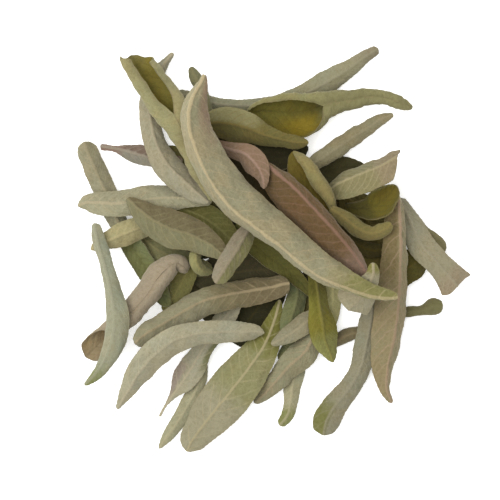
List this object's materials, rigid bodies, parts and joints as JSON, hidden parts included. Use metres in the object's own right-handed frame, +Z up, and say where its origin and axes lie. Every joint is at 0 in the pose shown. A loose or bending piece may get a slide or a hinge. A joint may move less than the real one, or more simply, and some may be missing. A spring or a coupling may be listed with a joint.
{
  "type": "sage bunch",
  "caption": "Loose heap of long, narrow dried sage leaves, felted grey-green, curled and lying over one another.",
  "frame": {"origin": "on the surface that the heap lies on, under the middle of its bounding box", "axes": "+Z up; +X to the right and +Y away from a person who looks down on the heap"},
  "size_m": [0.099, 0.1024, 0.0251],
  "materials": {
    "pale_leaf": "matt, felted pale green underside",
    "grey_leaf": "matt, felted grey underside",
    "green_leaf": "matt olive green upper face, pebbled",
    "mauve_leaf": "matt, felted mauve-brown"
  },
  "bodies": {
    "root": {"under_leaf_low_left": "mauve_leaf", "under_leaf_low_right": "grey_leaf", "under_leaf_left": "grey_leaf", "under_leaf_right": "grey_leaf", "under_leaf_upper": "grey_leaf", "under_leaf_top_left": "green_leaf", "under_leaf_narrow": "grey_leaf", "under_leaf_middle": "mauve_leaf", "under_leaf_far_right": "green_leaf", "under_leaf_far_left": "mauve_leaf", "top_long_leaf": "grey_leaf", "top_dark_leaf": "green_leaf", "right_dark_leaf": "green_leaf", "right_round_leaf": "green_leaf", "right_olive_leaf": "green_leaf", "right_stub_leaf": "green_leaf", "right_cross_leaf": "mauve_leaf", "bottom_hooked_leaf": "pale_leaf", "bottom_slim_leaf": "pale_leaf", "bottom_stalked_leaf": "grey_leaf", "left_olive_leaf": "green_leaf", "left_green_leaf": "green_leaf", "left_blunt_leaf": "pale_leaf", "left_twisted_leaf": "mauve_leaf", "middle_teal_leaf": "green_leaf", "middle_grey_leaf": "pale_leaf", "right_hidden_leaf": "green_leaf", "top_small_green_tip": "green_leaf", "left_tan_leaf": "pale_leaf", "left_mauve_leaf": "mauve_leaf", "bottom_right_leaf": "pale_leaf", "bottom_broad_leaf": "pale_leaf", "right_low_leaf": "grey_leaf", "right_outer_leaf": "pale_leaf", "middle_blue_leaf": "pale_leaf", "middle_green_strip": "green_leaf", "middle_dark_green_leaf": "green_leaf", "small_curled_tip": "pale_leaf", "left_long_pale_leaf": "pale_leaf", "left_blue_rolled_leaf": "pale_leaf", "right_slim_rolled_leaf": "grey_leaf", "top_boat_leaf": "green_leaf", "top_olive_leaf": "pale_leaf", "right_pink_rib_leaf": "grey_leaf", "right_open_olive_leaf": "green_leaf", "right_veined_leaf": "pale_leaf", "middle_folded_leaf": "green_leaf", "right_small_hook_leaf": "pale_leaf", "middle_pale_finger": "grey_leaf", "left_striped_leaf": "pale_leaf", "left_bowed_leaf": "pale_leaf", "pair_upper_leaf": "pale_leaf", "pair_lower_leaf": "pale_leaf", "middle_upright_leaf": "pale_leaf", "green_tongue_leaf": "green_leaf", "mauve_broad_leaf": "mauve_leaf", "right_round_end_leaf": "pale_leaf", "mauve_small_leaf": "mauve_leaf", "top_left_trough_leaf": "green_leaf", "front_long_leaf": "pale_leaf"}
  },
  "joints": []
}
